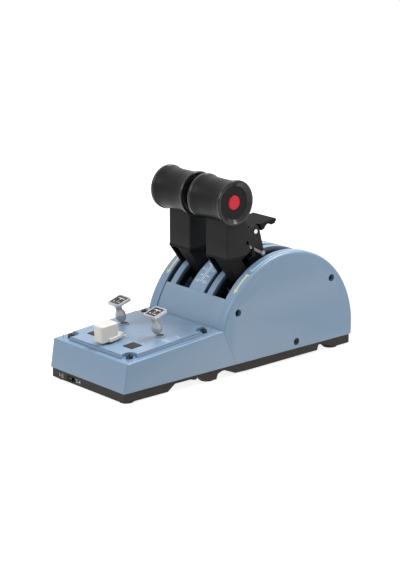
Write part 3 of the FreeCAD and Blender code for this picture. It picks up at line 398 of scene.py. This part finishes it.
# Toggle inlays: a black plate let into each head, with white bars and the engine's number.
# Every mark on the object is a thin film of ink, cut flat and then carried to its surface.
white_ink = moulded("white_ink", (0.78, 0.82, 0.86), 0.5, 0.3 * MM, 0.002 * MM,
                    drift=0.03, gloss=0.3)
straw_ink = moulded("straw_yellow_ink", (0.76, 0.70, 0.42), 0.5, 0.3 * MM, 0.002 * MM,
                    drift=0.03, gloss=0.3)
ink_lift = 0.02 * MM


def stroke(x0, x1, y0, y1, tip=None):
    """A flat bar of ink, cut along y so that it can follow a curve. With tip set, it narrows
    towards y1, down to that half width."""
    cuts = max(1, round(abs(y1 - y0) / (1.5 * MM)))
    bpy.ops.object.select_all(action="DESELECT")
    bpy.ops.mesh.primitive_grid_add(x_subdivisions=1, y_subdivisions=cuts, size=1.0,
                                    location=((x0 + x1) / 2, (y0 + y1) / 2, 0.0))
    bar = bpy.context.object
    bar.scale = (x1 - x0, abs(y1 - y0), 1.0)
    bpy.ops.object.transform_apply(location=True, rotation=True, scale=True)
    if tip is not None:
        half = (x1 - x0) / 2
        for point in bar.data.vertices:
            share = (point.co.y - y0) / (y1 - y0)
            width = half + (tip - half) * share
            point.co.x = (x0 + x1) / 2 + (width if point.co.x > (x0 + x1) / 2 else -width)
    return bar


def figure(text, x, y, height):
    """A plain number or word, its middle at (x, y)."""
    bpy.ops.object.select_all(action="DESELECT")
    bpy.ops.object.text_add(location=(x, y, 0.0))
    sign = bpy.context.object
    sign.data.body = text
    sign.data.size = height / 0.7
    sign.data.align_x = "CENTER"
    sign.data.align_y = "CENTER"
    sign.data.resolution_u = 3
    bpy.ops.object.convert(target="MESH")
    bpy.ops.object.transform_apply(location=True, rotation=True, scale=True)
    return bpy.context.object


def lay_ink(name, marks, ink, body, place, film=0.05 * MM):
    """Join flat marks into one film of ink and carry each of its points to the surface."""
    bpy.ops.object.select_all(action="DESELECT")
    for mark in marks:
        mark.select_set(True)
    bpy.context.view_layer.objects.active = marks[0]
    bpy.ops.object.join()
    print_film = bpy.context.object
    print_film.name = name
    thickness = print_film.modifiers.new("film", "SOLIDIFY")
    thickness.thickness = film
    thickness.offset = 1.0
    bpy.ops.object.modifier_apply(modifier="film")
    bpy.ops.object.mode_set(mode="EDIT")
    bpy.ops.mesh.select_all(action="SELECT")
    bpy.ops.mesh.normals_make_consistent(inside=False)
    bpy.ops.object.mode_set(mode="OBJECT")
    for point in print_film.data.vertices:
        point.co = place(point.co)
    print_film.data.materials.clear()
    print_film.data.materials.append(ink)
    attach(print_film, body)


inlay_black = moulded("black_inlay", (0.012, 0.012, 0.012), 0.35, 0.3 * MM, 0.003 * MM, gloss=0.3)
inlay_white = moulded("white_inlay", (0.75, 0.75, 0.74), 0.4, 0.3 * MM, 0.003 * MM, gloss=0.3)
recess_floor = 26.8 * MM
inlay_thickness = 0.15 * MM


def on_head(side):
    """Carries (x, across the head, height over the recess floor) onto a toggle's leaning head."""
    swing = joint[side + "_engine_switch"]
    turn = Matrix.Rotation(panel_slope + toggle_lean, 3, "X")

    def place(point):
        height = recess_floor + ink_lift + point.z
        return Vector(swing["pos_m"]) + turn @ Vector((point.x, point.y, height))
    return place


for number, side in (("1", "left"), ("2", "right")):
    plate = [stroke(-5.9 * MM, 5.9 * MM, -3.3 * MM, 8.3 * MM)]
    lay_ink(side + "_toggle_inlay", plate, inlay_black, side + "_engine_toggle", on_head(side),
            film=inlay_thickness)
    marks = [stroke(-3.9 * MM, 3.9 * MM, 5.2 * MM, 6.3 * MM),
             stroke(-0.6 * MM, 0.6 * MM, 3.6 * MM, 5.2 * MM),
             figure(number, 0.0, 0.7 * MM, 3.6 * MM),
             stroke(-4.1 * MM, -2.3 * MM, -1.0 * MM, 0.2 * MM),
             stroke(2.3 * MM, 4.1 * MM, -1.0 * MM, 0.2 * MM)]
    for mark in marks:
        for point in mark.data.vertices:
            point.co.z += inlay_thickness
    lay_ink(side + "_toggle_sign", marks, inlay_white, side + "_engine_toggle", on_head(side))

# Push keys: square caps of smoky black plastic in windows of the plate. Each is pressed down
# onto a small switch soldered to the panel board.
smoke = moulded("smoky_key_cap", (0.016, 0.014, 0.012), 0.4, 0.4 * MM, 0.003 * MM, gloss=0.2)
dress(["left_key_cap", "right_key_cap"], smoke, 0.25 * MM)
dress(["key_switches"], inner_plastic)

# Pairing switch: a small black plastic slide in the window of the front band, on a switch body
# behind it.
slider_black = moulded("slider_black", (0.03, 0.03, 0.03), 0.4, 0.2 * MM, 0.01 * MM)
dress(["pairing_switch"], inner_plastic)
dress(["pairing_slider"], slider_black, 0.1 * MM)

# Electronics: green fibreglass circuit boards under the panel, in the base and beside the axle,
# and a stamped steel socket at the rear of the main board.
board = moulded("green_circuit_board", (0.02, 0.13, 0.055), 0.35, 0.8 * MM, 0.02 * MM,
                drift=0.25)
dress(["panel_board", "main_board", "hall_boards"], board)
dress(["usb_socket"], bright_steel, 0.08 * MM)

# Axle and detents: a bright steel axle held by clips in dark plastic pedestals, with felt
# friction discs on it, and steel plungers in posts beside the levers.
felt = moulded("felt_disc", (0.3, 0.27, 0.24), 0.9, 0.15 * MM, 0.05 * MM, drift=0.2)
dress(["axle_pedestals", "detent_posts"], inner_plastic, 0.3 * MM)
dress(["lever_axle", "axle_clips", "detent_plungers"], bright_steel)
dress(["friction_discs"], felt)

# Thrust levers: a black plastic arm swings on the axle and passes through its slot into a
# folded charcoal body above the drum. A steel detent sector is fixed beside the arm.
# Painted highlight: edge=0.1 faintly lightens the lever bodies' sharp edges.
charcoal = moulded("charcoal_lever_plastic", (0.015, 0.015, 0.0152), 0.6, 0.3 * MM, 0.02 * MM,
                   drift=0.08, edge=0.1, gloss=0.15)
arm_black = moulded("black_arm_plastic", (0.007, 0.007, 0.0072), 0.6, 0.3 * MM, 0.02 * MM,
                    gloss=0.12)
dress(["left_lever_arm", "right_lever_arm"], arm_black, 0.3 * MM)
dress(["left_lever_body", "right_lever_body"], charcoal, 0.3 * MM)
dress(["left_detent_plate", "right_detent_plate"], bright_steel, 0.1 * MM)

# Grips: a turned satin sleeve with a rolled flange at each end, dished for a flat cap. It is
# pushed over the core tube and pinned by the arm's post from below.
satin_black = moulded("satin_black_grip", (0.010, 0.0098, 0.0095), 0.36, 0.5 * MM, 0.006 * MM,
                      drift=0.06, gloss=0.12)
red = moulded("signal_red_button", (0.78, 0.022, 0.05), 0.4, 0.4 * MM, 0.003 * MM,
              drift=0.03, gloss=0.3)
flange_black = moulded("polished_black_flange", (0.012, 0.012, 0.012), 0.14, 0.5 * MM,
                       0.002 * MM, gloss=0.3, coat=0.15)
half_profile = [(0.0, 17.75), (6.0, 17.8), (9.0, 17.9), (11.5, 18.1), (13.5, 18.4),
                (15.3, 18.7), (16.37, 18.75), (16.9, 18.8), (17.3, 19.3), (17.8, 19.42),
                (19.4, 19.42), (19.9, 19.3), (20.25, 18.95), (20.37, 18.5), (20.37, 17.4),
                (19.9, 16.9), (17.97, 14.25), (15.0, 14.25)]
grip_forward = 56.76 * MM
flange_radius = 19.42 * MM
flange_start = 16.9 * MM
for side in ("left", "right"):
    low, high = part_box(side + "_grip_sleeve")
    centre = (low + high) / 2
    centre.y = joint[side + "_lever_swing"]["pos_m"][1] - grip_forward
    centre.z = high.z - flange_radius
    rings = [(-along, radius) for along, radius in reversed(half_profile)] + half_profile[1:]
    sleeve = turned(side + "_turned_sleeve", rings, 96, ring_closed=True)
    sleeve.data.transform(Matrix.Translation(centre) @ Matrix.Rotation(math.radians(90), 4, "Y"))
    bpy.ops.object.shade_smooth_by_angle(angle=math.radians(24))
    sleeve.data.materials.append(satin_black)
    sleeve.data.materials.append(flange_black)
    for face in sleeve.data.polygons:
        if abs(face.center.x - centre.x) > flange_start:
            face.material_index = 1
    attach(sleeve, side + "_lever")
    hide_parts(side + "_grip_sleeve")
    dress([side + "_grip_caps"], satin_black, 0.3 * MM)
    dress([side + "_grip_core", side + "_button_switch"], inner_plastic)
    dress([side + "_disconnect_button"], red, 0.2 * MM)

# Reverse paddles: a bracket with two cheeks, the lifting plate on its pin and a torsion spring.
# Below them two burnished steel bars carry the dark latch block over the drum.
latch_steel = moulded("burnished_steel", (0.16, 0.155, 0.15), 0.35, 0.2 * MM, 0.004 * MM, metal=0.9)
for side in ("left", "right"):
    dress([side + "_paddle_bracket"], charcoal, 0.25 * MM)
    dress([side + "_reverse_paddle", side + "_latch_block"], arm_black, 0.25 * MM)
    dress([side + "_latch"], latch_steel, 0.12 * MM)
    dress([side + "_bracket_pins"], bright_steel, 0.12 * MM)
    dress([side + "_paddle_spring"], bright_steel)

# Drum print: screen-printed in white and straw yellow. A numbered scale in two columns runs over
# the middle of the drum, and on each rim an arrow points to the panel and a bracket marks a range.
cover_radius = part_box("centre_cover")[1][2] - drum_axis.z
rim_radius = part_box("right_side_cover")[1][2] - drum_axis.z


def round_drum(radius):
    """Carries (x, arc length from the crest, height) onto the drum at that radius."""
    def place(point):
        turn = point.y / radius
        out = radius + ink_lift + point.z
        return Vector((point.x, drum_axis.y + out * math.sin(turn),
                       drum_axis.z + out * math.cos(turn)))
    return place


def arc(degrees, radius):
    """The arc length from the crest to that many degrees behind it."""
    return math.radians(degrees) * radius


scale_front = -47.0
scale_rear = 22.0
row_step = 4.6
marks = []
for row in range(16):
    s = arc(scale_front + row * row_step, cover_radius)
    for side in (-1, 1):
        if row % 2 == 0:
            marks.append(figure(str(row // 2), side * 3.7 * MM, s, 3.4 * MM))
            x0, x1 = sorted((side * 5.6 * MM, side * 6.9 * MM))
        else:
            x0, x1 = sorted((side * 2.4 * MM, side * 5.4 * MM))
        marks.append(stroke(x0, x1, s - 0.5 * MM, s + 0.5 * MM))
for rail in (-1.0, 1.0):
    marks.append(stroke((rail - 0.3) * MM, (rail + 0.3) * MM, arc(scale_front, cover_radius),
                        arc(scale_rear, cover_radius)))
lay_ink("drum_scale_print", marks, white_ink, "housing", round_drum(cover_radius))

shaft_half = 1.0
arrow_half = 2.6
marks = []
for x in (-42.6, 45.3):
    head_line = arc(-46.0, rim_radius)
    shaft_end = arc(-34.8, rim_radius)
    marks.append(stroke((x - shaft_half) * MM, (x + shaft_half) * MM, head_line, shaft_end))
    marks.append(stroke(x * MM - arrow_half * MM * 0.8, x * MM + arrow_half * MM * 0.8,
                        shaft_end, arc(-33.6, rim_radius)))
    marks.append(stroke(x * MM - arrow_half * MM, x * MM + arrow_half * MM, head_line,
                        arc(-48.9, rim_radius), tip=0.1 * MM))
lay_ink("rim_arrow_print", marks, straw_ink, "housing", round_drum(rim_radius))

marks = []
for side in (-1, 1):
    x0, x1 = sorted((side * 45.75 * MM, side * 46.65 * MM))
    marks.append(stroke(x0, x1, arc(-30.4, rim_radius), arc(18.0, rim_radius)))
    x0, x1 = sorted((side * 43.1 * MM, side * 45.75 * MM))
    for degrees in (-30.0, -12.5, 5.0):
        s = arc(degrees, rim_radius)
        marks.append(stroke(x0, x1, s - 0.4 * MM, s + 0.4 * MM))
lay_ink("rim_range_print", marks, white_ink, "housing", round_drum(rim_radius))

# Panel print: screen-printed in white on the top of the 3 mm plate. Plain numbers stand round
# the selector, and ON and OFF beside the toggles.
selector_forward = 33.05 * MM
along = Vector((0.0, panel_normal.z, -panel_normal.y))
panel_middle = Vector(joint["mode_selector_turn"]["pos_m"]) + along * selector_forward
plate_top = 3.0 * MM


def on_plate(point):
    """Carries (x, along the panel, height) onto the plate's top."""
    return (panel_middle + Vector((point.x, 0.0, 0.0)) + along * point.y
            + panel_normal * (plate_top + ink_lift + point.z))


marks = [figure("1", -7.2 * MM, -8.2 * MM, 3.0 * MM),
         figure("2", -1.2 * MM, -3.2 * MM, 3.0 * MM),
         figure("3", 5.0 * MM, -6.8 * MM, 3.0 * MM),
         figure("4", 13.5 * MM, -11.8 * MM, 3.0 * MM),
         stroke(-1.8 * MM, -0.9 * MM, -13.4 * MM, -9.6 * MM),
         stroke(-1.8 * MM, 3.4 * MM, -14.3 * MM, -13.4 * MM)]
for side in (-1, 1):
    marks.append(figure("ON", side * 36.3 * MM, 12.9 * MM, 3.0 * MM))
    marks.append(figure("OFF", side * 36.8 * MM, 0.0, 3.0 * MM))
lay_ink("panel_print", marks, white_ink, "housing", on_plate)

# Front band print: plain numbers for the two pairing choices, screen-printed in white on the
# black base, on either side of the slide.
band_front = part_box("base_pan")[0][1]


def on_band(point):
    """Carries (x, height over the desk, height over the band) onto the front of the base."""
    return Vector((point.x, band_front - ink_lift - point.z, point.y))


marks = [figure("1-2", -36.6 * MM, 5.2 * MM, 3.4 * MM),
         figure("3-4", -13.0 * MM, 5.2 * MM, 3.4 * MM)]
lay_ink("pairing_print", marks, white_ink, "housing", on_band)
